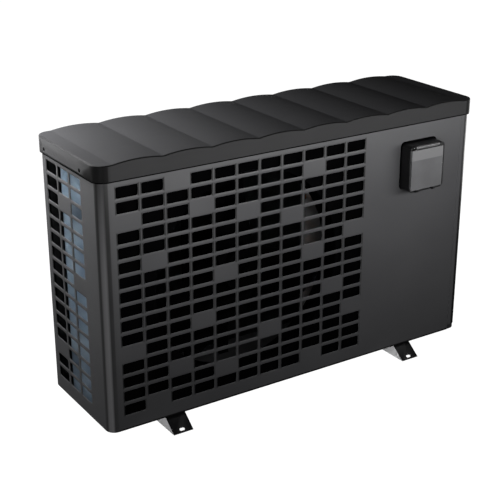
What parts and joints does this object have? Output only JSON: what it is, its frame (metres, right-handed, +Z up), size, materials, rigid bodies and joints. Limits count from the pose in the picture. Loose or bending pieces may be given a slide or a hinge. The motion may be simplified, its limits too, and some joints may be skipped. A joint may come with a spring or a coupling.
{
  "type": "heat pump unit",
  "caption": "Side-discharge pool heat pump with a scattered slot grille, waved top cover, two folded feet and a controller under a hinged flap.",
  "frame": {"origin": "on the ground, under the middle of the whole unit's box", "axes": "+X to the viewer's right along the front, +Y from the front to the back, +Z up"},
  "size_m": [1.0624, 0.3519, 0.6476],
  "materials": {
    "casing_paint": "satin anthracite powder coat",
    "black_steel": "satin black coat",
    "foot_steel": "satin black coat, bare zinc on the side webs",
    "zinc": "zinc plated",
    "galvanised": "galvanised",
    "black_plastic": "fine moulded grain",
    "fin_aluminium": "blue hydrophilic coating",
    "copper": "drawn copper tube",
    "brass": "turned brass",
    "motor_paint": "grey enamel",
    "shaft_steel": "ground steel",
    "titanium": "drawn titanium tube",
    "rubber": "soft rubber",
    "board": "solder mask",
    "terminal_plastic": "moulded",
    "paddle_plastic": "moulded",
    "display_glass": "dark liquid crystal window",
    "key_plastic": "soft touch",
    "smoked_plastic": "glossy smoked polycarbonate"
  },
  "bodies": {
    "casing": {"base_pan": "black_steel", "foot_left": "foot_steel", "foot_right": "foot_steel", "foot_bolts": "zinc", "front_panel": "casing_paint", "right_panel": "casing_paint", "rear_panel": "casing_paint", "rear_guard": "black_steel", "top_cover": "casing_paint", "cover_screws": "zinc", "panel_screws": "zinc", "partition_plate": "galvanised", "drain_elbow": "black_plastic", "fan_shroud": "black_plastic", "fan_motor": "motor_paint", "motor_bracket": "galvanised", "fin_pack": "fin_aluminium", "coil_end_plates": "galvanised", "return_bends": "copper", "compressor": "black_steel", "compressor_grommets": "rubber", "compressor_bolts": "zinc", "terminal_cap": "black_plastic", "accumulator": "black_steel", "four_way_valve": "brass", "expansion_valve": "brass", "valve_coils": "black_plastic", "discharge_pipe": "copper", "suction_pipe": "copper", "evaporator_pipe": "copper", "condenser_pipe": "copper", "liquid_pipe": "copper", "exchanger_vessel": "black_plastic", "titanium_coil": "titanium", "inlet_pipe": "black_plastic", "outlet_pipe": "black_plastic", "union_sockets": "black_plastic", "flow_switch": "black_plastic", "electrics_tray": "galvanised", "control_board": "board", "terminal_block": "terminal_plastic", "wiring_cover": "casing_paint", "cable_glands": "black_plastic", "controller_case": "black_plastic", "controller_seal": "rubber", "display_window": "display_glass", "controller_bezel": "black_plastic", "flap_pin": "shaft_steel", "flap_clips": "black_plastic"},
    "fan": {"fan_rotor": "black_plastic", "fan_nut": "zinc", "motor_shaft": "shaft_steel"},
    "flap": {"controller_flap": "smoked_plastic"},
    "power_key": {"button_power": "key_plastic"},
    "up_key": {"button_up": "key_plastic"},
    "down_key": {"button_down": "key_plastic"},
    "mode_key": {"button_mode": "key_plastic"},
    "inlet_nut": {"inlet_union_nut": "black_plastic"},
    "outlet_nut": {"outlet_union_nut": "black_plastic"},
    "paddle": {"flow_paddle": "paddle_plastic"}
  },
  "joints": [
    {"name": "fan_spin", "type": "hinge", "parent": "casing", "child": "fan", "pos_m": [-0.16325, -0.07905, 0.333], "axis": [0, 1, 0], "continuous": true},
    {"name": "flap_hinge", "type": "hinge", "parent": "casing", "child": "flap", "pos_m": [0.30175, -0.17205, 0.561], "axis": [-1, 0, 0], "range_deg": [0, 115]},
    {"name": "power_press", "type": "slide", "parent": "casing", "child": "power_key", "axis": [0, 1, 0], "range_m": [0, 0.001], "stiffness_N_per_m": 400},
    {"name": "up_press", "type": "slide", "parent": "casing", "child": "up_key", "axis": [0, 1, 0], "range_m": [0, 0.001], "stiffness_N_per_m": 400},
    {"name": "down_press", "type": "slide", "parent": "casing", "child": "down_key", "axis": [0, 1, 0], "range_m": [0, 0.001], "stiffness_N_per_m": 400},
    {"name": "mode_press", "type": "slide", "parent": "casing", "child": "mode_key", "axis": [0, 1, 0], "range_m": [0, 0.001], "stiffness_N_per_m": 400},
    {"name": "inlet_nut_turn", "type": "hinge", "parent": "casing", "child": "inlet_nut", "pos_m": [0.48925, 0.05995, 0.11], "axis": [1, 0, 0], "continuous": true},
    {"name": "outlet_nut_turn", "type": "hinge", "parent": "casing", "child": "outlet_nut", "pos_m": [0.48925, 0.05995, 0.44], "axis": [1, 0, 0], "continuous": true},
    {"name": "paddle_swing", "type": "hinge", "parent": "casing", "child": "paddle", "pos_m": [0.45125, 0.05995, 0.454], "axis": [0, -1, 0], "range_deg": [0, 22], "stiffness_Nm_per_rad": 0.004}
  ]
}
